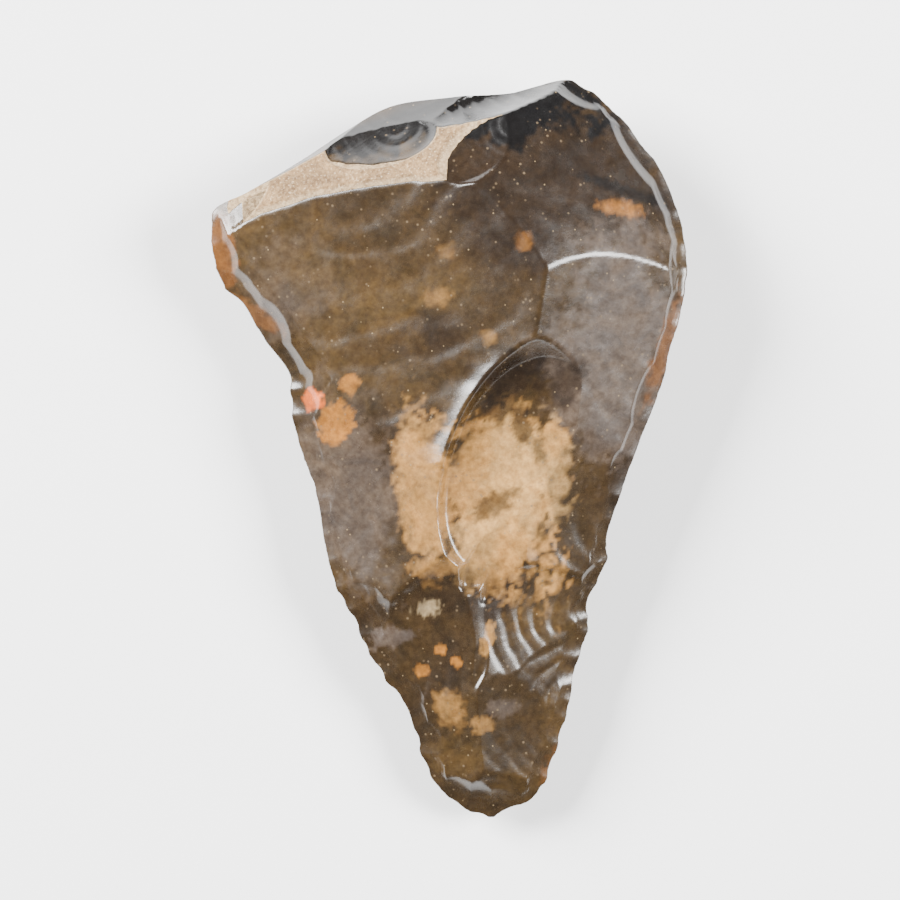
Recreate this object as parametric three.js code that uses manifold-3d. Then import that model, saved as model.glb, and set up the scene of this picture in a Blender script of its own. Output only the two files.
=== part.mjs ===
// A pointed flint hand axe with a thick butt, lying on its back with its worked face up.
// Millimetres, +Z up. +Y runs from the tip to the butt, +X to the right of the upper face.
// The stone is shaped as the real one was: a blank is cut down by flake scars on both faces,
// then the edge is sharpened by rows of small chips. A strip of the nodule's chalky rind is
// left along the butt, as a layer of its own.
import * as THREE from 'three';
import { mergeVertices } from 'three/addons/utils/BufferGeometryUtils.js';
import Module from 'manifold-3d';

const wasm = await Module();
wasm.setup();

// Driving dimensions of the stone
const LENGTH = 135;
const BREADTH = 86.3;
const THICKNESS = 32;

// Sizes that don't follow the overall ones
const RIND_THICKNESS = 1.0;
const RIND_GAP = 0.3;
const EDGE_THICKNESS = 0.4;
const CHIP_REACH = 3.2;
const CHIP_RISE = 1.7;
const CHIP_HOLLOW = 0.32;
const HEADROOM = 6;

// How finely the surfaces are cut into facets
const OUTLINE_STEPS_PER_POINT = 3;
const SCAR_SPOKES = 18;
const CHIP_SPOKES = 8;

// A place in the stone: percent of the breadth from the long axis, percent of the length
// from the tip, percent of the thickness from the surface that the stone lies on
function spot([across, along, up]) {
  return new THREE.Vector3(
    (across / 100) * BREADTH,
    (along / 100) * LENGTH,
    (up / 100) * THICKNESS,
  );
}

// The cutting edge, from the left corner of the butt round the tip and back along the butt.
// Its height wanders from one face to the other, as a flaked edge does.
const EDGE_POINTS = [
  [-50.0, 82.2, 48.6],
  [-50.2, 77.0, 46.4],
  [-48.5, 72.4, 41.3],
  [-43.9, 69.9, 41.7],
  [-39.9, 65.5, 41.7],
  [-33.7, 59.9, 43.1],
  [-34.1, 56.5, 43.1],
  [-31.2, 49.3, 40.6],
  [-28.0, 43.2, 38.8],
  [-26.5, 37.2, 37.0],
  [-24.0, 31.1, 35.9],
  [-20.0, 26.2, 33.0],
  [-15.3, 20.0, 31.9],
  [-9.2, 15.1, 28.3],
  [-6.2, 8.5, 24.2],
  [-1.2, 3.1, 21.4],
  [8.8, 0.0, 18.8],
  [18.9, 3.5, 22.8],
  [22.3, 8.6, 26.1],
  [25.3, 15.5, 30.1],
  [26.7, 20.5, 31.5],
  [29.3, 25.7, 33.3],
  [29.1, 29.7, 37.3],
  [33.3, 34.3, 38.4],
  [33.1, 38.2, 42.8],
  [35.6, 43.2, 46.7],
  [39.6, 50.4, 48.9],
  [44.7, 58.9, 50.7],
  [48.5, 68.2, 55.1],
  [50.0, 74.3, 55.1],
  [48.9, 80.4, 48.9],
  [43.2, 89.2, 44.6],
  [32.9, 96.8, 47.1],
  [25.5, 99.9, 48.2],
  [13.4, 98.2, 44.6],
  [0.7, 97.6, 43.5],
  [-12.4, 96.5, 37.7],
  [-20.8, 93.6, 41.3],
  [-31.8, 88.9, 47.8],
  [-42.8, 84.7, 50.7],
];
const edgeCurve = new THREE.CatmullRomCurve3(EDGE_POINTS.map(spot), true, 'centripetal');

// A point of the cutting edge, by its place in the list above
function edgeAt(place) {
  const count = EDGE_POINTS.length;
  return edgeCurve.getPoint((((place % count) + count) % count) / count);
}

// Points that several scars of the upper face share
const APEX = [20.2, 74.2, 100.0];
const FORK = [29.1, 52.0, 66.0];
const BUTT_RIDGE = [-1.6, 92.8, 78.3];
const LEFT_EDGE_STEP = [-23.8, 32.8, 40.6];
const WAIST = [10.5, 17.6, 47.8];

// Points on the ridge down the middle of the lower face, from butt to tip. The first six
// bound the flat that the stone lies on.
const FLAT_BACK_LEFT = [-3.9, 84.3, 0];
const FLAT_BACK_RIGHT = [24.4, 85.7, 0];
const FLAT_RIGHT = [30.8, 71.6, 0];
const FLAT_FRONT_RIGHT = [20.6, 57.0, 0];
const FLAT_FRONT_LEFT = [0.3, 55.7, 0];
const FLAT_LEFT = [-11.1, 70.8, 0];
const KEEL_BACK = [6.7, 40.5, 4.3];
const KEEL_MIDDLE = [7.5, 27.0, 7.2];
const KEEL_FRONT = [8.4, 13.5, 10.9];
const KEEL_TIP = [8.8, 1.1, 16.7];

// Every scar is a shallow dish hung on three points of the stone. The dish's rim is the
// ellipse through them, hollow is its depth in the middle as percent of the thickness (a
// negative one bulges), and past reach rims from its centre it turns up into a wall that
// climbs by wall percent of the thickness for each rim, as a step fracture does.
const UPPER_SCARS = [
  // The butt: two steep scars, a facet at its left corner and a chip between them
  { on: [[-27.2, 89.6, 63.8], BUTT_RIDGE, [-6.4, 97.0, 43.5]], hollow: 2.2, reach: 3, wall: 36 },
  { on: [[-31.8, 88.9, 50.7], [-20.8, 93.6, 43.5], [-27.2, 89.6, 63.8]], hollow: 0.4, reach: 3, wall: 36 },
  { on: [BUTT_RIDGE, [7.3, 97.3, 50.7], [23.2, 99.2, 52.9]], hollow: 3.3, reach: 3, wall: 36 },
  { on: [BUTT_RIDGE, [12.0, 93.4, 71.0], [7.4, 88.2, 87.5]], hollow: 0.5, reach: 1.1, wall: 36 },
  { on: [[-51.0, 79.5, 52.5], [-46.0, 85.5, 52.0], [-42.4, 83.2, 56.0]], hollow: 0.6, reach: 1.2, wall: 36 },

  // The broad left scar, with a lower one and a corner one beside the edge
  { on: [[-47.7, 80.4, 57.2], APEX, [-2.6, 35.8, 71.0]], hollow: 3.3, reach: 1.3, wall: 22 },
  { on: [[-31.8, 54.1, 47.8], [-1.6, 42.6, 74.6], [-23.4, 32.8, 40.6]], hollow: 3.3, reach: 1.3, wall: 29 },
  { on: [[-47.5, 73.6, 48.6], [-31.8, 70.3, 66.7], [-33.7, 59.9, 48.6]], hollow: 1.8, reach: 1.3, wall: 22 },

  // The upper right, a remnant of the bulging face of the first big flake, and the right scar
  { on: [APEX, [25.5, 99.5, 55.1], [47.3, 73.8, 64.9]], hollow: -5.4, reach: 2.3, wall: 217 },
  { on: [APEX, [47.7, 74.1, 64.5], [35.0, 41.6, 49.3]], hollow: 0.7, reach: 1.2, wall: 22 },
  { on: [[48.8, 78.0, 56.9], [46.4, 74.1, 61.8], [49.0, 69.6, 58.6]], hollow: 0.4, reach: 1, wall: 29 },

  // The deep middle scar with its stepped rim, and two long step scars below it
  { on: [[27.5, 44.6, 68.1], [0.5, 37.2, 61.3], [15.5, 61.7, 76.0]], hollow: 4.7, reach: 1, wall: 72 },
  { on: [[14.8, 36.2, 59.8], [3.1, 33.3, 55.7], [17.3, 44.1, 65.0]], hollow: 1.8, reach: 1, wall: 29 },
  { on: [[15.6, 34.8, 56.5], [7.1, 31.0, 53.5], [17.0, 41.3, 61.8]], hollow: 1.1, reach: 1, wall: 22 },

  // The lower right scar and a small one at its edge
  { on: [FORK, [35.8, 40.5, 47.1], [14.5, 35.1, 58.0]], hollow: 3.3, reach: 1.15, wall: 29 },
  { on: [[32.5, 39.2, 48.6], [23.2, 33.8, 52.9], [31.6, 31.1, 41.3]], hollow: 1.1, reach: 1.2, wall: 18 },

  // Down to the tip on the left
  { on: [LEFT_EDGE_STEP, [-2.6, 35.7, 70.7], [-6.4, 29.7, 60.1]], hollow: 1.8, reach: 1.1, wall: 22 },
  { on: [[-20.0, 26.2, 35.5], [-10.3, 27.0, 54.3], [-13.8, 21.6, 41.3]], hollow: 1.4, reach: 1.1, wall: 18 },
  { on: [[-15.3, 20.0, 34.8], [5.2, 28.4, 58.0], [-2.2, 10.8, 37.7]], hollow: 3.3, reach: 1.3, wall: 18 },
  { on: [[-9.6, 15.3, 32.2], [6.2, 16.2, 48.6], [-1.2, 3.1, 26.1]], hollow: 1.4, reach: 1.3, wall: 18 },

  // Down to the tip on the right, with a leaf-shaped splinter scar
  { on: [[4.1, 29.7, 57.6], [29.5, 28.1, 39.1], WAIST], hollow: 1.8, reach: 1.15, wall: 29 },
  { on: [WAIST, [27.8, 28.4, 39.9], [25.3, 15.5, 32.6]], hollow: 1.8, reach: 1.3, wall: 18 },
  { on: [[7.9, 26.8, 54.3], [10.0, 25.4, 52.9], [5.0, 18.9, 48.6]], hollow: 1.1, reach: 1.2, wall: 11 },
  { on: [[6.2, 17.6, 49.3], [10.5, 4.1, 34.1], [23.6, 13.2, 31.9]], hollow: 1.8, reach: 1.2, wall: 18 },
  { on: [[4.3, 3.6, 31.9], [18.3, 6.1, 31.9], [8.8, -0.3, 20.3]], hollow: 1.1, reach: 2, wall: 18 },
];

const LOWER_SCARS = [
  // From the left edge, butt to tip
  { on: [FLAT_LEFT, FLAT_BACK_LEFT, [-50.0, 78.9, 43.1]], hollow: 4.7 },
  { on: [FLAT_FRONT_LEFT, FLAT_LEFT, [-36.9, 60.5, 40.2]], hollow: 4.0 },
  { on: [FLAT_FRONT_LEFT, KEEL_BACK, [-28.9, 42.6, 34.9]], hollow: 3.3 },
  { on: [KEEL_BACK, KEEL_MIDDLE, [-21.2, 28.1, 31.5]], hollow: 2.9 },
  { on: [KEEL_MIDDLE, KEEL_FRONT, [-10.3, 16.2, 24.6]], hollow: 2.2 },
  { on: [KEEL_FRONT, KEEL_TIP, [-3.9, 5.7, 18.2]], hollow: 1.4 },

  // From the right edge, butt to tip
  { on: [FLAT_BACK_RIGHT, FLAT_RIGHT, [50.2, 78.4, 47.1]], hollow: 4.3 },
  { on: [FLAT_RIGHT, FLAT_FRONT_RIGHT, [46.0, 60.5, 50.0]], hollow: 4.3 },
  { on: [FLAT_FRONT_RIGHT, KEEL_BACK, [34.2, 39.5, 34.5]], hollow: 3.3 },
  { on: [KEEL_BACK, KEEL_MIDDLE, [30.9, 31.0, 32.6]], hollow: 2.5 },
  { on: [KEEL_MIDDLE, KEEL_FRONT, [27.4, 21.5, 28.2]], hollow: 2.2 },
  { on: [KEEL_FRONT, KEEL_TIP, [21.5, 7.4, 20.4]], hollow: 1.4 },

  // Across the butt
  { on: [FLAT_BACK_LEFT, [-31.8, 84.3, 30.4], [-20.8, 93.8, 36.2]], hollow: 2.9, reach: 1.3 },
  { on: [FLAT_BACK_LEFT, FLAT_BACK_RIGHT, [10.5, 97.8, 39.9]], hollow: 3.6 },
  { on: [FLAT_BACK_RIGHT, [32.9, 96.8, 43.5], [43.2, 89.2, 41.7]], hollow: 2.2 },
];
const LOWER_REACH = 1.4;
const LOWER_WALL = 29;

// The nodule's outer skin, a gentle dome over the butt that the scars cut away all but a strip
const NODULE_SKIN = { on: [[-42.4, 84.7, 56.5], [0.7, 92.4, 79.7], [2.0, 66.2, 130.4]], hollow: -3.6 };
const SKIN_REACH = 4;

// Rows of edge chips on both faces: from and to are places in the list of edge points, and
// above and below scale the chips of a row on the upper and the lower face
const CHIP_ROWS = [
  { from: 0, to: 5, chips: 7, above: 0.75, below: 0.8 },
  { from: 5, to: 10, chips: 9, above: 0.95, below: 1.0 },
  { from: 10, to: 16, chips: 11, above: 1.15, below: 1.1 },
  { from: 16, to: 22, chips: 11, above: 1.05, below: 1.1 },
  { from: 22, to: 29, chips: 12, above: 0.55, below: 0.95 },
  { from: 29, to: 33, chips: 7, above: 0.45, below: 0.8 },
];
const CHIP_MIN_WIDTH = 0.55;
const CHIP_MIN_SIZE = 0.6;
const CHIP_SPREAD = 0.6;
const CHIP_LEAN = 0.5;
const CHIP_SCAR_REACH = 1.3;
const CHIP_WALL = 2.5;

// A repeatable number from 0 to 1 for each whole number, for the uneven size of the chips
function chance(number) {
  const wave = Math.sin(number * 127.1) * 43758.5453;
  return wave - Math.floor(wave);
}

// The dish's height over a point of its disc: ring 1 is the rim ellipse, and the ellipse's
// half axes are centre to first point, and second to third point over the root of three
function dish([first, second, third], hollow, reach, wall) {
  const centre = new THREE.Vector3().add(first).add(second).add(third).divideScalar(3);
  const axisA = first.clone().sub(centre);
  const axisB = second.clone().sub(third).divideScalar(Math.sqrt(3));
  return (ring, turn) => {
    const point = centre.clone();
    point.addScaledVector(axisA, ring * Math.cos(turn));
    point.addScaledVector(axisB, ring * Math.sin(turn));
    point.z -= hollow * (1 - ring * ring);
    point.z += wall * Math.max(0, ring - reach);
    return point;
  };
}

// A solid that fills the space over a dish up to a level above the stone, or, turned over,
// the space under it down to a level below the stone. Its rings lie at the given distances.
function scarSolid(surface, rings, spokes, turnedOver) {
  const level = THICKNESS + HEADROOM;
  const place = (point) => [point.x, point.y, turnedOver ? -point.z : point.z];
  const rows = rings.map((ring) => Array.from(
    { length: spokes },
    (_, spoke) => surface(ring, (spoke / spokes) * 2 * Math.PI),
  ));
  const highest = Math.max(level, ...rows.at(-1).map((point) => point.z)) + HEADROOM;
  rows.push(rows.at(-1).map((point) => new THREE.Vector3(point.x, point.y, highest)));

  const positions = rows.flat().flatMap(place);
  const bottom = rows.length * spokes;
  const top = bottom + 1;
  const middle = surface(0, 0);
  positions.push(...place(middle));
  positions.push(...place(new THREE.Vector3(middle.x, middle.y, highest)));

  const triangles = [];
  for (let spoke = 0; spoke < spokes; spoke += 1) {
    const next = (spoke + 1) % spokes;
    triangles.push([bottom, next, spoke]);
    for (let row = 0; row + 1 < rows.length; row += 1) {
      const inner = row * spokes;
      const outer = inner + spokes;
      triangles.push([inner + spoke, inner + next, outer + spoke]);
      triangles.push([inner + next, outer + next, outer + spoke]);
    }
    const last = (rows.length - 1) * spokes;
    triangles.push([top, last + spoke, last + next]);
  }
  return solidOf(positions, triangles);
}

// A closed mesh as a solid, with its faces turned out whichever way round they were listed
function solidOf(positions, triangles) {
  const volume = triangles.reduce((sum, [a, b, c]) => {
    const corner = (index) => new THREE.Vector3().fromArray(positions, index * 3);
    return sum + corner(a).dot(corner(b).cross(corner(c)));
  }, 0);
  const turned = volume < 0 ? triangles.map(([a, b, c]) => [a, c, b]) : triangles;
  return new wasm.Manifold(new wasm.Mesh({
    numProp: 3,
    vertProperties: new Float32Array(positions),
    triVerts: new Uint32Array(turned.flat()),
  }));
}

// A three.js geometry as a solid
function solidOfGeometry(geometry) {
  geometry.deleteAttribute('normal');
  geometry.deleteAttribute('uv');
  const merged = mergeVertices(geometry);
  const index = Array.from(merged.index.array);
  const triangles = [];
  for (let corner = 0; corner < index.length; corner += 3) {
    triangles.push(index.slice(corner, corner + 3));
  }
  return solidOf(Array.from(merged.attributes.position.array), triangles);
}

// The blank: the outline of the cutting edge, straight up from the flat it lies on
function blankSolid() {
  const steps = EDGE_POINTS.length * OUTLINE_STEPS_PER_POINT;
  const outline = new THREE.Shape();
  for (let step = 0; step < steps; step += 1) {
    const point = edgeAt(step / OUTLINE_STEPS_PER_POINT);
    if (step === 0) outline.moveTo(point.x, point.y);
    else outline.lineTo(point.x, point.y);
  }
  const extrude = { depth: THICKNESS + HEADROOM / 2, bevelEnabled: false, steps: 1 };
  return solidOfGeometry(new THREE.ExtrudeGeometry(outline, extrude));
}

const percentHigh = (value) => (value / 100) * THICKNESS;
const turnOver = (point) => new THREE.Vector3(point.x, point.y, -point.z);

function upperScar({ on, hollow, reach, wall }) {
  const surface = dish(on.map(spot), percentHigh(hollow), reach, percentHigh(wall));
  const rings = [0.5, 1].map((part) => part * Math.min(reach, 1.3));
  const beyond = [0.6, 1.6, 3].map((rims) => reach + rims);
  if (reach > 1.3) beyond.unshift(reach);
  return scarSolid(surface, [...rings, ...beyond], SCAR_SPOKES, false);
}

function lowerScar({ on, hollow, reach = LOWER_REACH }) {
  const points = on.map(spot).map(turnOver);
  const surface = dish(points, percentHigh(hollow), reach, percentHigh(LOWER_WALL));
  const rings = [0.5, 1].map((part) => part * reach);
  const beyond = [0.6, 1.6, 3].map((rims) => reach + rims);
  return scarSolid(surface, [...rings, ...beyond], SCAR_SPOKES, true);
}

// The space over the nodule's skin, or over a level that lies deeper under it
function overSkin(deeper) {
  const lowered = NODULE_SKIN.on.map(spot);
  lowered.forEach((point) => { point.z -= deeper; });
  const surface = dish(lowered, percentHigh(NODULE_SKIN.hollow), SKIN_REACH, THICKNESS);
  return scarSolid(surface, [0.4, 0.8, 1.2, 1.7, 2.3, 3, SKIN_REACH], SCAR_SPOKES, false);
}

// One row of chips, on the upper or the lower face. Neighbours share their points on the edge.
function chipRow({ from, to, chips }, size, seed, turnedOver) {
  const widths = Array.from({ length: chips }, (_, chip) => CHIP_MIN_WIDTH + chance(seed + chip));
  const whole = widths.reduce((sum, width) => sum + width, 0);
  const face = (point) => (turnedOver ? turnOver(point) : point);
  const solids = [];
  let place = from;
  for (let chip = 0; chip < chips; chip += 1) {
    const next = place + ((to - from) * widths[chip]) / whole;
    const start = face(edgeAt(place));
    const end = face(edgeAt(next));
    const scale = size * widths[chip] * (CHIP_MIN_SIZE + CHIP_SPREAD * chance(seed + chip + 50));
    const along = end.clone().sub(start).setZ(0).normalize();
    const inward = new THREE.Vector3(-along.y, along.x, 0);
    const lean = CHIP_LEAN * (chance(seed + chip + 90) - 0.5);
    const inner = start.clone().lerp(end, 0.5);
    inner.addScaledVector(inward, CHIP_REACH * scale);
    inner.addScaledVector(along, CHIP_REACH * scale * lean);
    inner.z += CHIP_RISE * scale;
    const points = [start, end, inner];
    points.forEach((point) => { point.z += EDGE_THICKNESS / 2; });
    const hollow = CHIP_HOLLOW * scale;
    const surface = dish(points, hollow, CHIP_SCAR_REACH, CHIP_WALL);
    const rings = [0.75, CHIP_SCAR_REACH, CHIP_SCAR_REACH + 2.2];
    solids.push(scarSolid(surface, rings, CHIP_SPOKES, turnedOver));
    place = next;
  }
  return solids;
}

// All that was struck off, as one list of solids
function struckOff() {
  const rows = CHIP_ROWS.flatMap((row, index) => [
    ...chipRow(row, row.above, 200 * index, false),
    ...chipRow(row, row.below, 200 * index + 1000, true),
  ]);
  return [...UPPER_SCARS.map(upperScar), ...LOWER_SCARS.map(lowerScar), ...rows];
}

// A solid as a named mesh
function meshOf(name, solid, material) {
  const { vertProperties, triVerts, numProp } = solid.getMesh();
  const positions = new Float32Array((vertProperties.length / numProp) * 3);
  for (let vertex = 0; vertex * numProp < vertProperties.length; vertex += 1) {
    positions.set(vertProperties.subarray(vertex * numProp, vertex * numProp + 3), vertex * 3);
  }
  const geometry = new THREE.BufferGeometry();
  geometry.setAttribute('position', new THREE.BufferAttribute(positions, 3));
  geometry.setIndex(Array.from(triVerts));
  geometry.computeVertexNormals();
  const mesh = new THREE.Mesh(geometry, material);
  mesh.name = name;
  return mesh;
}

const flint = new THREE.MeshStandardMaterial({ color: 0x4a3826, roughness: 0.35, metalness: 0 });
const chalkyRind = new THREE.MeshStandardMaterial({ color: 0xb99a6b, roughness: 0.9, metalness: 0 });

const blank = blankSolid();
const scars = struckOff().reduce((all, scar) => all.add(scar));
const nodule = blank.subtract(overSkin(0));
const core = blank.subtract(overSkin(RIND_THICKNESS + RIND_GAP)).subtract(scars);
const rind = nodule.intersect(overSkin(RIND_THICKNESS)).subtract(scars);

const handAxe = new THREE.Group();
handAxe.name = 'hand_axe';
handAxe.add(meshOf('flint_body', core, flint));
handAxe.add(meshOf('cortex_remnant', rind, chalkyRind));

// The origin is under the middle of the whole stone, on the surface that it lies on
const box = new THREE.Box3().setFromObject(handAxe);
handAxe.position.set(
  -(box.min.x + box.max.x) / 2,
  -(box.min.y + box.max.y) / 2,
  -box.min.z,
);

export default handAxe;
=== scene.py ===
"""A pointed flint hand axe lying on a pale floor, seen from straight above.

The flaked surfaces follow the same scars as the frame, worked out again on a fine grid with
the ripples, hackles and small chips that the frame's solids leave out.
"""
import math

import bpy
import numpy as np
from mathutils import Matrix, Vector


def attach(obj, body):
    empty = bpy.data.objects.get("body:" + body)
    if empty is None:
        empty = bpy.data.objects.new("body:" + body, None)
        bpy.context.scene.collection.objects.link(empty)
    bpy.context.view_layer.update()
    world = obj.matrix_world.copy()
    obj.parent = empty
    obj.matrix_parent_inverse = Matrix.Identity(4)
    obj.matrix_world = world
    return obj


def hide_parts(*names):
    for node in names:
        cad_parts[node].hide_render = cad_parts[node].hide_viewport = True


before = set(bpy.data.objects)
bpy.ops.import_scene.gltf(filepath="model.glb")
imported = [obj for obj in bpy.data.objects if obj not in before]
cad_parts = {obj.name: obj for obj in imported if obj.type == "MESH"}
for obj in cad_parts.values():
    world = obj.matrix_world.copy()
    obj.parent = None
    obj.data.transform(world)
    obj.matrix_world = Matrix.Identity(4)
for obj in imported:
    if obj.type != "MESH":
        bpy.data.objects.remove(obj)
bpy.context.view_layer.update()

# The stone's driving sizes in millimetres, as its frame was built
SIZE = np.array([86.3, 135.0, 32.0])
BREADTH, LENGTH, THICKNESS = SIZE
METRES = 0.001

# The rind, the room between it and its seat on the flint, and the cutting edge
RIND_THICKNESS = 1.0
RIND_SEAT = 0.05
EDGE_THICKNESS = 0.4

# Grid cells: along each side from tip to butt, and across the two faces. The columns lie
# closer together at the edges by this share of a full wave.
ROWS = 330
COLUMNS_ABOVE = 220
COLUMNS_BELOW = 90
EDGE_FINENESS = 0.10

# How many points stand for the outline: to lay out the rows, to find its box and to tell what
# lies inside it
OUTLINE_POINTS = 4000
OUTLINE_BOX_POINTS = 2000
OUTLINE_CORNERS = 401

# Each row's ends move inward from the outline in small steps, to where the stone is this thick
TRIMMED_EDGE = 0.12
INWARD_STEP = 0.05
INWARD_LIMIT = 5

# The cutting edge: percent of the breadth from the long axis, of the length from the tip, and
# of the thickness from the floor
EDGE_POINTS = [
    [-50.0, 82.2, 48.6], [-50.2, 77.0, 46.4], [-48.5, 72.4, 41.3], [-43.9, 69.9, 41.7],
    [-39.9, 65.5, 41.7], [-33.7, 59.9, 43.1], [-34.1, 56.5, 43.1], [-31.2, 49.3, 40.6],
    [-28.0, 43.2, 38.8], [-26.5, 37.2, 37.0], [-24.0, 31.1, 35.9], [-20.0, 26.2, 33.0],
    [-15.3, 20.0, 31.9], [-9.2, 15.1, 28.3], [-6.2, 8.5, 24.2], [-1.2, 3.1, 21.4],
    [8.8, 0.0, 18.8], [18.9, 3.5, 22.8], [22.3, 8.6, 26.1], [25.3, 15.5, 30.1],
    [26.7, 20.5, 31.5], [29.3, 25.7, 33.3], [29.1, 29.7, 37.3], [33.3, 34.3, 38.4],
    [33.1, 38.2, 42.8], [35.6, 43.2, 46.7], [39.6, 50.4, 48.9], [44.7, 58.9, 50.7],
    [48.5, 68.2, 55.1], [50.0, 74.3, 55.1], [48.9, 80.4, 48.9], [43.2, 89.2, 44.6],
    [32.9, 96.8, 47.1], [25.5, 99.9, 48.2], [13.4, 98.2, 44.6], [0.7, 97.6, 43.5],
    [-12.4, 96.5, 37.7], [-20.8, 93.6, 41.3], [-31.8, 88.9, 47.8], [-42.8, 84.7, 50.7],
]
TIP_PLACE = 16
BUTT_PLACE = 35.5

# Points that several scars of the upper face share
APEX = [20.2, 74.2, 100.0]
FORK = [29.1, 52.0, 66.0]
BUTT_RIDGE = [-1.6, 92.8, 78.3]
LEFT_EDGE_STEP = [-23.8, 32.8, 40.6]
WAIST = [10.5, 17.6, 47.8]

# Points along the middle of the lower face. The first six bound the flat that the stone lies on.
FLAT_BACK_LEFT = [-3.9, 84.3, 0]
FLAT_BACK_RIGHT = [24.4, 85.7, 0]
FLAT_RIGHT = [30.8, 71.6, 0]
FLAT_FRONT_RIGHT = [20.6, 57.0, 0]
FLAT_FRONT_LEFT = [0.3, 55.7, 0]
FLAT_LEFT = [-11.1, 70.8, 0]
KEEL_BACK = [6.7, 40.5, 4.3]
KEEL_MIDDLE = [7.5, 27.0, 7.2]
KEEL_FRONT = [8.4, 13.5, 10.9]
KEEL_TIP = [8.8, 1.1, 16.7]


def scar(on, hollow, reach=1.4, wall=29, struck=2, ripple=0.05, spacing=4.0):
    """A flake scar: a dish on three points, and the point from which its ripples spread.

    hollow and wall are percent of the thickness, reach is counted in rims of the dish, struck
    is the number of one of the points or a place in percent, and ripple and spacing are the
    height and distance of its ripples in millimetres.
    """
    point = on[struck] if isinstance(struck, int) else struck
    return {
        "on": np.array(on, float) / 100 * SIZE,
        "hollow": hollow / 100 * THICKNESS,
        "reach": reach,
        "wall": wall / 100 * THICKNESS,
        "struck": np.array(point[:2], float) / 100 * SIZE[:2],
        "ripple": ripple,
        "spacing": spacing,
    }


# The two scars that meet at the lip
BROAD_LEFT = scar([[-47.7, 80.4, 57.2], APEX, [-2.6, 35.8, 71.0]], 3.3, 1.3, 22, (-22, 92), 0.10, 7.5)
DEEP_MIDDLE = scar(
    [[27.5, 44.6, 68.1], [0.5, 37.2, 61.3], [15.5, 61.7, 76.0]], 4.7, 1.0, 72, (30, 36), 0.10, 6.0
)

UPPER_SCARS = [
    # The butt
    scar([[-27.2, 89.6, 63.8], BUTT_RIDGE, [-6.4, 97.0, 43.5]], 2.2, 3, 36, (-8, 101), 0.06, 3.2),
    scar([[-31.8, 88.9, 50.7], [-20.8, 93.6, 43.5], [-27.2, 89.6, 63.8]], 0.4, 3, 36, (-30, 95)),
    scar([BUTT_RIDGE, [7.3, 97.3, 50.7], [23.2, 99.2, 52.9]], 3.3, 3, 36, (20, 103), 0.16, 3.0),
    scar([[1.0, 92.6, 79.0], [13.0, 93.6, 80.0], [3.0, 86.2, 89.0]], 1.5, 1.1, 36, 1, 0.04, 1.6),
    scar([[-24, 89.4, 61.5], [-8.5, 89.7, 74.0], [-12, 94.2, 54.0]], 1.5, 1.15, 36, 2, 0.06, 2.4),
    scar([[-52.0, 80.0, 52.5], [-44.0, 87.0, 52.0], [-41.4, 83.0, 56.5]], 0.6, 1.2, 36, 0, 0.04, 1.6),
    # The left face
    BROAD_LEFT,
    scar([[-31.8, 54.1, 47.8], [-1.6, 42.6, 74.6], [-23.4, 32.8, 40.6]], 3.3, 1.3, 29, (-34, 44), 0.06),
    scar([[-47.5, 73.6, 48.6], [-31.8, 70.3, 66.7], [-33.7, 59.9, 48.6]], 1.8, 1.3, 22, (-44, 66), 0.06),
    # The upper right and the right face
    scar([APEX, [25.5, 99.5, 55.1], [47.3, 73.8, 64.9]], -5.4, 2.3, 217, (40, 104), 0.05, 9.0),
    scar([APEX, [47.7, 74.1, 64.5], [35.0, 41.6, 49.3]], 0.7, 1.2, 22, (52, 66), 0.06, 6.0),
    scar([[48.8, 78.0, 56.9], [46.4, 74.1, 61.8], [49.0, 69.6, 58.6]], 0.4, 1.0, 29, 2, 0.03, 1.5),
    # The deep middle scar and the steps under it
    DEEP_MIDDLE,
    scar([[14.8, 36.2, 59.8], [3.1, 33.3, 55.7], [17.3, 44.1, 65.0]], 1.8, 1.0, 29, 1, 0.08, 2.4),
    scar([[15.6, 34.8, 56.5], [7.1, 31.0, 53.5], [17.0, 41.3, 61.8]], 1.1, 1.0, 22, 1, 0.06, 2.0),
    # The lower right
    scar([FORK, [35.8, 40.5, 47.1], [14.5, 35.1, 58.0]], 3.3, 1.15, 29, 1, 0.10, 4.5),
    scar([[32.5, 39.2, 48.6], [23.2, 33.8, 52.9], [31.6, 31.1, 41.3]], 1.1, 1.2, 18, 2, 0.05, 2.4),
    # Down to the tip on the left
    scar([LEFT_EDGE_STEP, [-2.6, 35.7, 70.7], [-6.4, 29.7, 60.1]], 1.8, 1.1, 22, 0, 0.08, 3.0),
    scar([[-20.0, 26.2, 35.5], [-10.3, 27.0, 54.3], [-13.8, 21.6, 41.3]], 1.4, 1.1, 18, 0, 0.06, 2.4),
    scar([[-15.3, 20.0, 34.8], [5.2, 28.4, 58.0], [-2.2, 10.8, 37.7]], 3.3, 1.3, 18, 0, 0.10, 3.4),
    scar([[-9.6, 15.3, 32.2], [6.2, 16.2, 48.6], [-1.2, 3.1, 26.1]], 1.4, 1.3, 18, 0, 0.07, 2.6),
    # Down to the tip on the right
    scar([[4.1, 29.7, 57.6], [29.5, 28.1, 39.1], WAIST], 1.8, 1.15, 29, 1, 0.10, 3.4),
    scar([WAIST, [27.8, 28.4, 39.9], [25.3, 15.5, 32.6]], 1.8, 1.3, 18, 2, 0.09, 3.0),
    scar([[7.9, 26.8, 54.3], [10.0, 25.4, 52.9], [5.0, 18.9, 48.6]], 1.1, 1.2, 11, 2, 0.04, 1.8),
    scar([[6.2, 17.6, 49.3], [10.5, 4.1, 34.1], [23.6, 13.2, 31.9]], 1.8, 1.2, 18, 2, 0.08, 2.6),
    scar([[4.3, 3.6, 31.9], [18.3, 6.1, 31.9], [8.8, -0.3, 20.3]], 1.1, 2, 18, 2, 0.05, 1.8),
]

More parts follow.
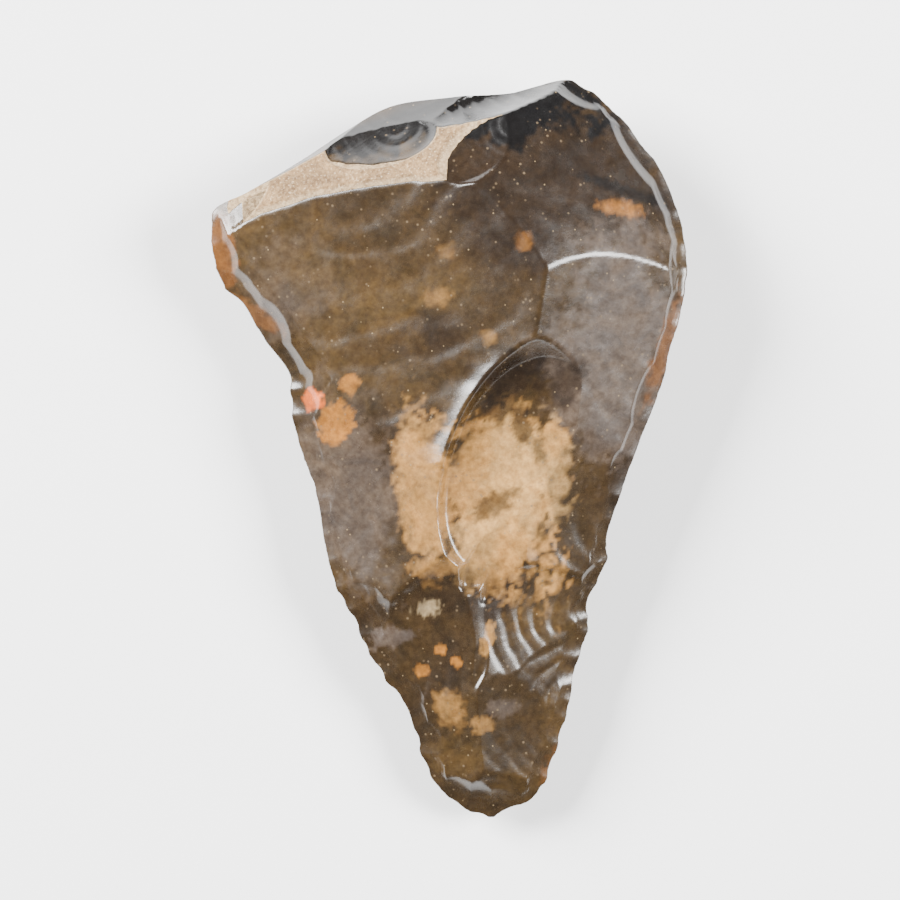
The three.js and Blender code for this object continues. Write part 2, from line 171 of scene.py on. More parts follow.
LOWER_SCARS = [
    # From the left edge, butt to tip
    scar([FLAT_LEFT, FLAT_BACK_LEFT, [-50.0, 78.9, 43.1]], 4.7, ripple=0.12, spacing=6.0),
    scar([FLAT_FRONT_LEFT, FLAT_LEFT, [-36.9, 60.5, 40.2]], 4.0, ripple=0.10, spacing=5.0),
    scar([FLAT_FRONT_LEFT, KEEL_BACK, [-28.9, 42.6, 34.9]], 3.3, ripple=0.10, spacing=5.0),
    scar([KEEL_BACK, KEEL_MIDDLE, [-21.2, 28.1, 31.5]], 2.9, ripple=0.10, spacing=4.0),
    scar([KEEL_MIDDLE, KEEL_FRONT, [-10.3, 16.2, 24.6]], 2.2, ripple=0.08, spacing=3.0),
    scar([KEEL_FRONT, KEEL_TIP, [-3.9, 5.7, 18.2]], 1.4, ripple=0.06, spacing=2.4),
    # From the right edge, butt to tip
    scar([FLAT_BACK_RIGHT, FLAT_RIGHT, [50.2, 78.4, 47.1]], 4.3, ripple=0.12, spacing=5.0),
    scar([FLAT_RIGHT, FLAT_FRONT_RIGHT, [46.0, 60.5, 50.0]], 4.3, ripple=0.12, spacing=5.0),
    scar([FLAT_FRONT_RIGHT, KEEL_BACK, [34.2, 39.5, 34.5]], 3.3, ripple=0.10, spacing=4.5),
    scar([KEEL_BACK, KEEL_MIDDLE, [30.9, 31.0, 32.6]], 2.5, ripple=0.10, spacing=4.0),
    scar([KEEL_MIDDLE, KEEL_FRONT, [27.4, 21.5, 28.2]], 2.2, ripple=0.08, spacing=3.0),
    scar([KEEL_FRONT, KEEL_TIP, [21.5, 7.4, 20.4]], 1.4, ripple=0.06, spacing=2.4),
    # Across the butt
    scar([FLAT_BACK_LEFT, [-31.8, 84.3, 30.4], [-20.8, 93.8, 36.2]], 2.9, 1.3, ripple=0.10),
    scar([FLAT_BACK_LEFT, FLAT_BACK_RIGHT, [10.5, 97.8, 39.9]], 3.6, ripple=0.12),
    scar([FLAT_BACK_RIGHT, [32.9, 96.8, 43.5], [43.2, 89.2, 41.7]], 2.2, ripple=0.08),
]

# The nodule's outer skin, a gentle dome over the butt
NODULE_SKIN = scar([[-42.4, 84.7, 56.5], [0.7, 92.4, 79.7], [2.0, 66.2, 130.4]], -3.6, 9, 0)

# The lip along the deep middle scar: its height in millimetres, its width in rims of that scar,
# the direction from the scar's middle, and how many radians from it the lip reaches
LIP_HEIGHT = 0.9
LIP_WIDTH = 0.22
LIP_TOWARD = math.radians(150)
LIP_SPAN = 1.6

# Rows of chips along the edge: first and last place, count, and size above and below
CHIP_ROWS = [
    (0, 5, 7, 0.75, 0.8),
    (5, 10, 9, 0.95, 1.0),
    (10, 16, 11, 1.15, 1.1),
    (16, 22, 11, 1.05, 1.1),
    (22, 29, 12, 0.55, 0.95),
    (29, 33, 7, 0.45, 0.8),
]
# A chip of size 1, in millimetres: how far it reaches in from the edge, how much it rises on the
# way and how hollow it is. Chance varies its width and size and leans it to one side.
CHIP_REACH = 3.2
CHIP_RISE = 1.7
CHIP_HOLLOW = 0.32
CHIP_MIN_WIDTH = 0.55
CHIP_MIN_SIZE = 0.6
CHIP_SPREAD = 0.6
CHIP_LEAN = 0.5
# Reach and wall are those of a scar, the wall in millimetres. A chip of size 1 has ripples of
# this height and distance.
CHIP_SCAR_REACH = 1.3
CHIP_WALL = 1.1
CHIP_RIPPLE = 0.02
CHIP_RIPPLE_SPACING = 0.9
# A chip is left out past this many times its own radius
CHIP_INFLUENCE = 4.5
# Finer chips along the same rows, only modelled here. Their size follows that of the chips
# only in part.
FINE_CHIPS_PER_CHIP = 3
FINE_CHIP_SIZE = 0.36
FINE_CHIP_STEADY = 0.6

# Chance takes the fraction of a large multiple of a sine
CHANCE_TURN = 127.1
CHANCE_SCALE = 43758.5453

# Which chance numbers the chips draw: for size and lean, each row, the lower face, fine chips
SIZE_CHANCES = 50
LEAN_CHANCES = 90
ROW_CHANCES = 200
BELOW_CHANCES = 1000
FINE_CHANCES = 3000

# The first noise seed of each group of scars, and the step between large scars
UPPER_SEED = 0
LOWER_SEED = 400
CHIPS_ABOVE_SEED = 900
CHIPS_BELOW_SEED = 1900
SEED_STEP = 10

# Noise is drawn on a square lattice that repeats, from a place inside it
NOISE_LATTICE = 256
NOISE_START = (128, 16)

# Ripples: their rings wander by parts of the spacing over cells in millimetres, and their
# height swings about a mean from place to place
BROAD_WANDER, BROAD_WANDER_CELL = 0.35, 9
FINE_WANDER, FINE_WANDER_CELL = 0.15, 3.5
RIPPLE_OVERTONE = 0.3
RIPPLE_MEAN, RIPPLE_SWING, RIPPLE_SWING_CELL = 0.55, 0.45, 14
# Hackles, the fine radial lines: height as a share of the ripples', how many in a radian, and
# their length in millimetres
HACKLE_SHARE = 0.16
HACKLES_PER_RADIAN = 26
HACKLE_LENGTH = 9


def chance(number):
    """A repeatable number from 0 to 1 for each whole number."""
    wave = math.sin(number * CHANCE_TURN) * CHANCE_SCALE
    return wave - math.floor(wave)


def edge_at(places):
    """Points of the cutting edge, a closed centripetal Catmull-Rom curve through its list."""
    knots = np.array(EDGE_POINTS) / 100 * SIZE
    places = np.atleast_1d(np.asarray(places, float)) % len(knots)
    first = np.floor(places).astype(int)
    step = (places - first)[:, None]
    p0, p1, p2, p3 = (knots[(first + shift) % len(knots)] for shift in (-1, 0, 1, 2))
    d0, d1, d2 = (
        np.sqrt(np.linalg.norm(b - a, axis=1))[:, None] for a, b in ((p0, p1), (p1, p2), (p2, p3))
    )
    start = ((p1 - p0) / d0 - (p2 - p0) / (d0 + d1) + (p2 - p1) / d1) * d1
    end = ((p2 - p1) / d1 - (p3 - p1) / (d1 + d2) + (p3 - p2) / d2) * d1
    cubic = 2 * p1 - 2 * p2 + start + end
    square = -3 * p1 + 3 * p2 - 2 * start - end
    return p1 + start * step + square * step**2 + cubic * step**3


def noise(x, y, cell, seed):
    """Smooth noise from -1 to 1 over the plan, with features about cell millimetres across."""
    lattice = np.random.default_rng(seed).uniform(-1, 1, (NOISE_LATTICE, NOISE_LATTICE))
    gx, gy = x / cell + NOISE_START[0], y / cell + NOISE_START[1]
    ix, iy = np.floor(gx).astype(int), np.floor(gy).astype(int)
    fx, fy = gx - ix, gy - iy
    fx, fy = fx * fx * (3 - 2 * fx), fy * fy * (3 - 2 * fy)
    ix, iy = ix % NOISE_LATTICE, iy % NOISE_LATTICE
    next_x, next_y = (ix + 1) % NOISE_LATTICE, (iy + 1) % NOISE_LATTICE
    a, b = lattice[ix, iy], lattice[next_x, iy]
    c, d = lattice[ix, next_y], lattice[next_x, next_y]
    return (a * (1 - fx) + b * fx) * (1 - fy) + (c * (1 - fx) + d * fx) * fy


def dish(item, x, y, sign=1):
    """The height of a scar over the plan, turned over for the lower face by sign -1."""
    a, b, c = item["on"]
    area = (b[1] - c[1]) * (a[0] - c[0]) + (c[0] - b[0]) * (a[1] - c[1])
    first = ((b[1] - c[1]) * (x - c[0]) + (c[0] - b[0]) * (y - c[1])) / area
    second = ((c[1] - a[1]) * (x - c[0]) + (a[0] - c[0]) * (y - c[1])) / area
    third = 1 - first - second
    ring_squared = (3 * (first**2 + second**2 + third**2) - 1) / 2
    ring = np.sqrt(np.maximum(ring_squared, 0))
    height = sign * (first * a[2] + second * b[2] + third * c[2])
    height = height - item["hollow"] * (1 - ring_squared)
    return height + item["wall"] * np.maximum(0, ring - item["reach"])


def rippled(item, x, y, seed, sign=1):
    """A dish with the ripples that spread from where it was struck, and radial hackles."""
    dx, dy = x - item["struck"][0], y - item["struck"][1]
    distance = np.hypot(dx, dy)
    wander = BROAD_WANDER * noise(x, y, BROAD_WANDER_CELL, seed)
    wander = wander + FINE_WANDER * noise(x, y, FINE_WANDER_CELL, seed + 1)
    phase = distance / item["spacing"] + wander
    waves = np.sin(2 * math.pi * phase) + RIPPLE_OVERTONE * np.sin(4 * math.pi * phase + 1)
    swing = RIPPLE_SWING * noise(x, y, RIPPLE_SWING_CELL, seed + 2)
    strength = item["ripple"] * (RIPPLE_MEAN + swing)
    turn = np.arctan2(dy, dx)
    rays = noise(turn * HACKLES_PER_RADIAN, distance / HACKLE_LENGTH, 1.0, seed + 3)
    hackles = rays * HACKLE_SHARE * item["ripple"]
    return dish(item, x, y, sign) + strength * waves + hackles


def chip_row(first, last, count, size, seed, sign):
    """The dishes of one row of chips. Neighbours share their points on the edge."""
    widths = [CHIP_MIN_WIDTH + chance(seed + chip) for chip in range(count)]
    place = first
    items = []
    for chip, width in enumerate(widths):
        after = place + (last - first) * width / sum(widths)
        start, end = edge_at([place, after]) * (1, 1, sign)
        spread = CHIP_SPREAD * chance(seed + chip + SIZE_CHANCES)
        scale = size * width * (CHIP_MIN_SIZE + spread)
        along = (end - start) * (1, 1, 0)
        along /= np.linalg.norm(along)
        inward = np.array([-along[1], along[0], 0])
        lean = CHIP_LEAN * (chance(seed + chip + LEAN_CHANCES) - 0.5)
        inner = (start + end) / 2 + CHIP_REACH * scale * (inward + lean * along)
        inner[2] += CHIP_RISE * scale
        points = np.array([start, end, inner]) + (0, 0, EDGE_THICKNESS / 2)
        points[:, 2] *= sign
        items.append({
            "on": points,
            "hollow": CHIP_HOLLOW * scale,
            "reach": CHIP_SCAR_REACH,
            "wall": CHIP_WALL,
            "struck": ((start + end) / 2)[:2],
            "ripple": CHIP_RIPPLE * scale,
            "spacing": CHIP_RIPPLE_SPACING * scale,
        })
        place = after
    return items


def all_chips(sign):
    """The chips of the frame, then the finer ones, for one face."""
    items = []
    for index, (first, last, count, above, below) in enumerate(CHIP_ROWS):
        size = above if sign > 0 else below
        seed = ROW_CHANCES * index + (0 if sign > 0 else BELOW_CHANCES)
        items += chip_row(first, last, count, size, seed, sign)
        fine_count = count * FINE_CHIPS_PER_CHIP
        fine_size = FINE_CHIP_SIZE * (FINE_CHIP_STEADY + (1 - FINE_CHIP_STEADY) * size)
        items += chip_row(first, last, fine_count, fine_size, seed + FINE_CHANCES, sign)
    return items


def near(item, x, y):
    """Which points lie close enough to a chip for it to matter."""
    centre = item["on"][:, :2].mean(axis=0)
    radius = CHIP_INFLUENCE * np.linalg.norm(item["on"][:, :2] - centre, axis=1).max()
    return (x - centre[0]) ** 2 + (y - centre[1]) ** 2 < radius**2


def hinge_lip(x, y):
    """The lip that the broad left scar has along the rim of the deep middle one."""
    a, b, c = DEEP_MIDDLE["on"]
    centre = (a + b + c) / 3
    first, second = (a - centre)[:2], (b - c)[:2] / math.sqrt(3)
    dx, dy = x - centre[0], y - centre[1]
    area = first[0] * second[1] - first[1] * second[0]
    u = (dx * second[1] - dy * second[0]) / area
    v = (first[0] * dy - first[1] * dx) / area
    ring = np.hypot(u, v)
    toward = np.arctan2(dy, dx)
    span = np.clip(LIP_SPAN - np.abs(toward - LIP_TOWARD), 0, 1)
    return LIP_HEIGHT * span * np.exp(-(((ring - 1.0) / LIP_WIDTH) ** 2))


def lowest_scar(x, y):
    """The upper face without the rind: the lowest of all the scars that reach a place."""
    height = np.full(x.shape, np.inf)
    for index, item in enumerate(UPPER_SCARS):
        lip = hinge_lip(x, y) if item is BROAD_LEFT else 0
        height = np.minimum(height, rippled(item, x, y, UPPER_SEED + SEED_STEP * index) + lip)
    for seed, item in enumerate(CHIPS_ABOVE, CHIPS_ABOVE_SEED):
        hit = near(item, x, y)
        height[hit] = np.minimum(height[hit], rippled(item, x[hit], y[hit], seed))
    return height


def upper_face(x, y):
    """The height of the flint's upper face, with the seat of the rind."""
    seat = dish(NODULE_SKIN, x, y) - RIND_THICKNESS - RIND_SEAT
    return np.minimum(lowest_scar(x, y), seat)


def lower_face(x, y):
    """The height of the flint's lower face."""
    depth = np.zeros(x.shape)
    for index, item in enumerate(LOWER_SCARS):
        depth = np.minimum(depth, rippled(item, x, y, LOWER_SEED + SEED_STEP * index, -1))
    for seed, item in enumerate(CHIPS_BELOW, CHIPS_BELOW_SEED):
        hit = near(item, x, y)
        depth[hit] = np.minimum(depth[hit], rippled(item, x[hit], y[hit], seed, -1))
    return -depth


CHIPS_ABOVE = all_chips(1)
CHIPS_BELOW = all_chips(-1)


def side_of_outline(from_place, to_place):
    """Evenly spaced plan points along the outline, moved in to where the stone has body."""
    dense = edge_at(np.linspace(from_place, to_place, OUTLINE_POINTS))
    length = np.r_[0, np.cumsum(np.linalg.norm(np.diff(dense[:, :2], axis=0), axis=1))]
    wanted = np.linspace(0, length[-1], ROWS + 1)
    points = np.stack([np.interp(wanted, length, dense[:, axis]) for axis in range(2)], axis=1)
    tangent = np.gradient(points, axis=0)
    tangent /= np.linalg.norm(tangent, axis=1)[:, None]
    turn = 1 if to_place > from_place else -1
    inward = turn * np.stack([-tangent[:, 1], tangent[:, 0]], axis=1)
    steps = np.arange(0, INWARD_LIMIT, INWARD_STEP)
    tries = points[:, None, :] + inward[:, None, :] * steps[None, :, None]
    body = upper_face(tries[..., 0], tries[..., 1]) - lower_face(tries[..., 0], tries[..., 1])
    first = np.argmax(body >= TRIMMED_EDGE, axis=1)
    return points + inward * steps[first][:, None]


def plan_grid(left, right, columns):
    """Plan points on lines from the left outline to the right one, closer at both ends."""
    share = np.linspace(0, 1, columns + 1)
    share = share - EDGE_FINENESS * np.sin(2 * math.pi * share)
    grid = left[:, None, :] * (1 - share)[None, :, None] + right[:, None, :] * share[None, :, None]
    return grid[..., 0], grid[..., 1]


def new_mesh(name, points, faces):
    """A smooth-shaded mesh object from points in millimetres."""
    mesh = bpy.data.meshes.new(name)
    mesh.from_pydata((points * METRES).tolist(), [], faces)
    mesh.validate()
    mesh.polygons.foreach_set("use_smooth", [True] * len(mesh.polygons))
    mesh.update()
    piece = bpy.data.objects.new(name, mesh)
    bpy.context.scene.collection.objects.link(piece)
    return piece


def strip_faces(rows, flip):
    """Faces between neighbouring rows of vertex numbers."""
    faces = []
    for lower, upper in zip(rows[:-1], rows[1:]):
        for column in range(len(lower) - 1):
            quad = (lower[column], lower[column + 1], upper[column + 1], upper[column])
            faces.append(quad[::-1] if flip else quad)
    return faces


def fan_faces(pole, row, flip):
    """Faces from one point to the cells of a row."""
    faces = [(pole, row[column], row[column + 1]) for column in range(len(row) - 1)]
    return [face[::-1] for face in faces] if flip else faces


def closed_shell(left, right, upper, lower, columns_above, columns_below):
    """Points and faces of a closed body between two faces that share their outline."""
    middle = slice(1, -1)
    ax, ay = plan_grid(left[middle], right[middle], columns_above)
    bx, by = plan_grid(left[middle], right[middle], columns_below)
    above = np.stack([ax, ay, upper(ax, ay)], axis=-1)
    below = np.stack([bx, by, lower(bx, by)], axis=-1)
    for edge in (0, -1):
        above[:, edge, 2] = (above[:, edge, 2] + below[:, edge, 2]) / 2
    ends = (left[[0, -1]] + right[[0, -1]]) / 2
    end_up, end_down = upper(ends[:, 0], ends[:, 1]), lower(ends[:, 0], ends[:, 1])
    poles = np.column_stack([ends, (end_up + end_down) / 2])

    rows, across, inner = above.shape[0], columns_above + 1, columns_below - 1
    top = np.arange(rows * across).reshape(rows, across)
    bottom = rows * across + np.arange(rows * inner).reshape(rows, inner)
    bottom = np.hstack([top[:, :1], bottom, top[:, -1:]])
    start, end = rows * across + rows * inner, rows * across + rows * inner + 1
    points = np.vstack([above.reshape(-1, 3), below[:, 1:-1].reshape(-1, 3), poles])
    top, bottom = top.tolist(), bottom.tolist()
    faces = strip_faces(top, False) + strip_faces(bottom, True)
    faces += fan_faces(start, top[0][::-1], False) + fan_faces(start, bottom[0][::-1], True)
    faces += fan_faces(end, top[-1], False) + fan_faces(end, bottom[-1], True)
    return points, faces


def frame_shift():
    """From the scars' own coordinates to the frame: the plan box's middle goes to its origin."""
    outline = edge_at(np.linspace(0, len(EDGE_POINTS), OUTLINE_BOX_POINTS))
    middle = (outline.min(axis=0) + outline.max(axis=0)) / 2
    return np.array([-middle[0], -middle[1], 0])


SHIFT = frame_shift()


# The colours painted on the vertices of each piece
PAINTED_LAYER = "tone"

# Colours of the flint, as linear red, green and blue. On some patches the grey is painted sheen and the
# dark is painted shade.
DARK_TONE_AND_SHADE = (0.011, 0.007, 0.0045)
BROWN = (0.023, 0.0145, 0.0065)
WARM = (0.042, 0.026, 0.0095)
TAN = (0.25, 0.135, 0.042)
PALE_TAN = (0.32, 0.2, 0.08)
OCHRE = (0.22, 0.092, 0.017)
ORANGE = (0.4, 0.085, 0.012)
GREY_AND_SHEEN = (0.06, 0.048, 0.042)
BLACK = (0.0025, 0.0025, 0.003)
AMBER = (0.1, 0.042, 0.013)
CREAM = (0.3, 0.24, 0.15)

# Clouds of tone over all of the flint: colour, cell in millimetres, noise seed, contrast and
# greatest strength
CLOUDS = [
    (WARM, 11, 61, 0.9, 0.6),
    (DARK_TONE_AND_SHADE, 8, 62, 1.1, 0.7),
]

# Patches of colour on the upper face: across and along in percent, half sizes in millimetres,
# turn in degrees, colour, strength and how soft the rim is
PATCHES = [
    # The broad tones of each scar. The grey patches among them, on the right face and on the left of the
    # broad scar, are painted sheen where those faces reflect the softboxes.
    (-20, 80, 24, 13, 20, BROWN, 0.7, 0.5),
    (22, 88, 22, 18, 0, DARK_TONE_AND_SHADE, 0.85, 0.5),
    (34, 62, 11, 21, -12, GREY_AND_SHEEN, 0.75, 0.45),
    (-22, 46, 9, 16, 12, GREY_AND_SHEEN, 0.6, 0.5),
    (-34, 72, 8, 8, 0, GREY_AND_SHEEN, 0.4, 0.6),
    (-2, 96, 40, 8, 0, BLACK, 0.96, 0.25),
    (-36, 77, 12, 9, 0, WARM, 0.4, 0.8),
    (-27, 74, 7, 5, -20, WARM, 0.5, 0.8),
    (-16, 70, 8, 5, 10, WARM, 0.6, 0.5),
    (-20, 62, 12, 10, 0, WARM, 0.45, 0.6),
    # The tan zone of the middle scar and beside it
    (-5, 45, 5.5, 13, 8, TAN, 0.75, 0.45),
    (11, 43, 9.5, 17, 14, TAN, 0.92, 0.30),
    (15, 47, 7, 9, 0, PALE_TAN, 0.6, 0.5),
    (5, 37, 4, 7, 0, PALE_TAN, 0.5, 0.5),
    # Painted shade: the dark patches just under the middle scar's upper rim, where its steep upper wall
    # faces away from the lights
    (9.4, 55.8, 3.0, 2.6, 20, DARK_TONE_AND_SHADE, 0.8, 0.4),
    (15, 53.4, 1.8, 3.4, 10, DARK_TONE_AND_SHADE, 0.75, 0.4),
    (19, 50.4, 1.3, 3.4, 0, DARK_TONE_AND_SHADE, 0.55, 0.5),
    (21.7, 51.3, 2.4, 2.8, 0, TAN, 0.8, 0.4),
    (13, 60, 8, 3.4, 16, DARK_TONE_AND_SHADE, 0.85, 0.5),
    (25, 59, 3, 4.5, -20, DARK_TONE_AND_SHADE, 0.7, 0.5),
    (9, 42.7, 4.5, 1.9, 25, DARK_TONE_AND_SHADE, 0.7, 0.5),
    # Spots
    (-29.1, 56.7, 2.0, 2.0, 0, ORANGE, 0.95, 0.3),
    (-21.2, 58.9, 1.7, 1.7, 0, OCHRE, 0.75, 0.35),
    (-23.8, 53.5, 3.2, 3.3, 0, OCHRE, 0.85, 0.3),
    (-2.4, 70.4, 2.2, 1.5, 0, TAN, 0.30, 0.8),
    (8.1, 65.0, 1.3, 1.3, 0, TAN, 0.35, 0.7),
    (15.5, 77.5, 1.3, 1.7, 0, OCHRE, 0.35, 0.7),
    (-0.7, 76.6, 1.5, 1.5, 0, TAN, 0.20, 0.8),
    (36.0, 82.4, 3.8, 1.4, -10, OCHRE, 0.60, 0.7),
    (37, 84.8, 8.0, 1.1, -18, BLACK, 0.7, 0.5),
    # The lower third
    (4, 31, 9, 5, 0, DARK_TONE_AND_SHADE, 0.5, 0.6),
    (-3, 34.5, 4.5, 1.8, 10, TAN, 0.55, 0.5),
    (-4.6, 28.6, 2.4, 1.3, 10, CREAM, 0.45, 0.4),
    (-12.6, 24.6, 3.8, 1.9, 10, GREY_AND_SHEEN, 0.8, 0.4),
    (8, 24.5, 1.1, 3.0, -14, TAN, 0.7, 0.4),
    (20, 27, 6, 4, 0, WARM, 0.6, 0.6),
    (24, 14, 3.5, 9, 0, WARM, 0.6, 0.6),
    (11, 15, 3.0, 1.5, 0, GREY_AND_SHEEN, 0.6, 0.5),
    (-2, 23, 1.0, 1.0, 0, OCHRE, 0.8, 0.4),
    (1.4, 21.3, 1.0, 1.0, 0, OCHRE, 0.8, 0.4),
    (-6, 20.1, 1.2, 1.2, 0, OCHRE, 0.7, 0.4),
    (0, 15, 2.2, 3.6, 20, TAN, 0.45, 0.6),
    (6.9, 12.8, 2.2, 1.5, 0, TAN, 0.55, 0.5),
    (2, 8, 5, 4, 0, WARM, 0.6, 0.6),
    (14, 4, 6, 4, 0, WARM, 0.5, 0.6),
    # Thin edges, where light comes through
    (-48.5, 77, 2.6, 6.5, 8, AMBER, 0.85, 0.5),
    (45.5, 64, 1.7, 10, -19, AMBER, 0.65, 0.5),
    (-42, 68.5, 6, 1.6, -30, AMBER, 0.55, 0.5),
    (22, 6, 2, 6, -15, AMBER, 0.45, 0.6),
]


# The rim of a patch is ragged by shares of its size, over cells that are shares of its smaller
# half size, each with its noise seed. A grain roughens the rims of larger patches most.
RAGGED_RIM = ((0.30, 0.7, 51), (0.22, 0.3, 52))
RIM_GRAIN, RIM_GRAIN_CELL, RIM_GRAIN_SEED = 0.25, 0.8, 53
FULL_GRAIN_SIZE = 3

# Patches are for the upper face. They fade out around the edge, whose height at the tip and
# at the butt is a share of the thickness.
EDGE_AT_TIP = 0.2 * THICKNESS
EDGE_AT_BUTT = 0.47 * THICKNESS
FADE_BELOW_EDGE = 2
FADE_HEIGHT = 3


def blend(colours, target, amount):
    """Colours moved toward a target colour by an amount for each point."""
    return colours * (1 - amount[:, None]) + np.array(target) * amount[:, None]


def inside_patch(x, y, patch):
    """How far inside a patch each point lies, from 0 to its strength, with a ragged rim."""
    across, along, half_wide, half_high, turn, _, strength, soft = patch
    dx, dy = x - across / 100 * BREADTH, y - along / 100 * LENGTH
    cos, sin = math.cos(math.radians(turn)), math.sin(math.radians(turn))
    u, v = (dx * cos + dy * sin) / half_wide, (-dx * sin + dy * cos) / half_high
    size = min(half_wide, half_high)
    ragged = sum(share * noise(x, y, size * cell, seed) for share, cell, seed in RAGGED_RIM)
    grain = RIM_GRAIN * noise(x, y, RIM_GRAIN_CELL, RIM_GRAIN_SEED)
    ragged = ragged + grain * min(1.0, size / FULL_GRAIN_SIZE)
    return strength * np.clip((1 + soft / 2 - np.hypot(u, v) - ragged) / soft, 0, 1)


def flint_colours(points):
    """The colour of each point of the flint, from the patches and clouds of noise."""
    x, y, z = points.T
    colours = np.tile(np.array(BROWN), (len(points), 1))
    for colour, cell, seed, contrast, most in CLOUDS:
        colours = blend(colours, colour, np.clip(noise(x, y, cell, seed) * contrast, 0, most))
    edge = np.interp(y, [0, LENGTH], [EDGE_AT_TIP, EDGE_AT_BUTT])
    face_up = np.clip((z - edge + FADE_BELOW_EDGE) / FADE_HEIGHT, 0, 1)
    painted = colours.copy()
    for patch in PATCHES:
        painted = blend(painted, patch[5], inside_patch(x, y, patch))
    return colours * (1 - face_up[:, None]) + painted * face_up[:, None]


def paint(piece, colours):
    """Stores a colour for each vertex of a piece."""
    layer = piece.data.color_attributes.new(PAINTED_LAYER, "FLOAT_COLOR", "POINT")
    full = np.column_stack([colours, np.ones(len(colours))]).astype(np.float32)
    layer.data.foreach_set("color", full.ravel())


def flint_piece():
    """The flint, with its two flaked faces meeting at the chipped edge."""
    left = side_of_outline(TIP_PLACE, BUTT_PLACE - len(EDGE_POINTS))
    right = side_of_outline(TIP_PLACE, BUTT_PLACE)
    tip, butt = (left[0] + right[0]) / 2, (left[-1] + right[-1]) / 2
    left[0], right[0], left[-1], right[-1] = tip, tip, butt, butt
    points, faces = closed_shell(left, right, upper_face, lower_face, COLUMNS_ABOVE, COLUMNS_BELOW)
    points[:, 2] = np.clip(points[:, 2], 0, THICKNESS)
    piece = new_mesh("flaked_flint", points + SHIFT, faces)
    paint(piece, flint_colours(points))
    return piece


# The rind's strip, crossed by lines between two guide lines that lie outside it. Along each
# line it is looked for at many places, and there it has to be this thick and this far over the
# lower face. Lines with too few such places are left out.
RIND_LINES = 260
RIND_PLACES = 500
RIND_FEWEST_PLACES = 4
RIND_LEAST = 0.02
RIND_OVER_LOWER_FACE = 0.3
RIND_COLUMNS = 70
RIND_COLUMNS_BELOW = 20
RIND_BACK_GUIDE = [(-47, 88.5), (-20, 96), (2, 97.5), (11, 95)]
RIND_FRONT_GUIDE = [(-47, 79), (-20, 83.5), (2, 82), (11, 85.5)]

# The rind's pits: depth and cell in millimetres, and noise seed. They are sunk in its skin.
RIND_PITS = ((0.10, 0.9, 71), (0.07, 0.45, 72), (0.08, 3, 73))
RIND_SINK = 0.1

# Colours of the rind: its skin, the mottle over it, and the rind that scars have laid open,
# which comes in from one depth under the skin over a further depth in millimetres
RIND_SKIN = (0.30, 0.185, 0.085)
RIND_MOTTLE = (0.13, 0.075, 0.032)
MOTTLE_CELL, MOTTLE_SEED, MOTTLE_STRENGTH = 2.2, 81, 0.6
RIND_BROKEN = (0.42, 0.31, 0.18)
BROKEN_FROM, BROKEN_OVER, BROKEN_STRENGTH = 0.25, 0.35, 0.7


def rind_top(x, y):
    """The rind's upper surface: the pitted skin, where no scar has cut lower."""
    pits = sum(depth * noise(x, y, cell, seed) for depth, cell, seed in RIND_PITS)
    return np.minimum(dish(NODULE_SKIN, x, y) + pits - RIND_SINK, lowest_scar(x, y))


def rind_bottom(x, y):
    """The rind's underside, on the flint."""
    return dish(NODULE_SKIN, x, y) - RIND_THICKNESS


def guide(points, count):
    """Evenly spread plan points along a guide line of percent places."""
    places = np.array(points, float) / 100 * SIZE[:2]
    spread = np.linspace(0, len(points) - 1, count)
    columns = [np.interp(spread, range(len(points)), places[:, axis]) for axis in (0, 1)]
    return np.stack(columns, axis=1)


def inside_outline(x, y):
    """Which plan points lie inside the stone's outline, by counting crossings."""
    corners = edge_at(np.linspace(0, len(EDGE_POINTS), OUTLINE_CORNERS))[:, :2]
    inside = np.zeros(x.shape, bool)
    for (ax, ay), (bx, by) in zip(corners[:-1], corners[1:]):
        if ay != by:
            crosses = ((ay > y) != (by > y)) & (x < (bx - ax) * (y - ay) / (by - ay) + ax)
            inside ^= crosses
    return inside


def rind_piece():
    """The strip of chalky rind along the butt, thinner where the scars cut it."""
    back, front = guide(RIND_BACK_GUIDE, RIND_LINES), guide(RIND_FRONT_GUIDE, RIND_LINES)
    share = np.linspace(0, 1, RIND_PLACES)
    x = back[:, :1] * (1 - share) + front[:, :1] * share
    y = back[:, 1:] * (1 - share) + front[:, 1:] * share
    underside = np.maximum(rind_bottom(x, y), lower_face(x, y) + RIND_OVER_LOWER_FACE)
    solid = (rind_top(x, y) - underside > RIND_LEAST) & inside_outline(x, y)
    lines = np.flatnonzero(solid.sum(axis=1) > RIND_FEWEST_PLACES)
    first = solid.argmax(axis=1)[lines]
    last = RIND_PLACES - 1 - solid[:, ::-1].argmax(axis=1)[lines]
    back_rim = np.stack([x[lines, first], y[lines, first]], axis=1)
    front_rim = np.stack([x[lines, last], y[lines, last]], axis=1)
    points, faces = closed_shell(
        front_rim, back_rim, rind_top, rind_bottom, RIND_COLUMNS, RIND_COLUMNS_BELOW
    )
    points[:, 2] = np.maximum(points[:, 2], rind_bottom(points[:, 0], points[:, 1]))
    piece = new_mesh("chalky_rind", points + SHIFT, faces)
    depth = dish(NODULE_SKIN, points[:, 0], points[:, 1]) - points[:, 2]
    broken = np.clip((depth - BROKEN_FROM) / BROKEN_OVER, 0, 1)
    skin = np.tile(np.array(RIND_SKIN), (len(points), 1))
    mottle = np.clip(0.5 + noise(points[:, 0], points[:, 1], MOTTLE_CELL, MOTTLE_SEED), 0, 1)
    skin = blend(skin, RIND_MOTTLE, MOTTLE_STRENGTH * mottle)
    paint(piece, blend(skin, RIND_BROKEN, broken * BROKEN_STRENGTH))
    return piece


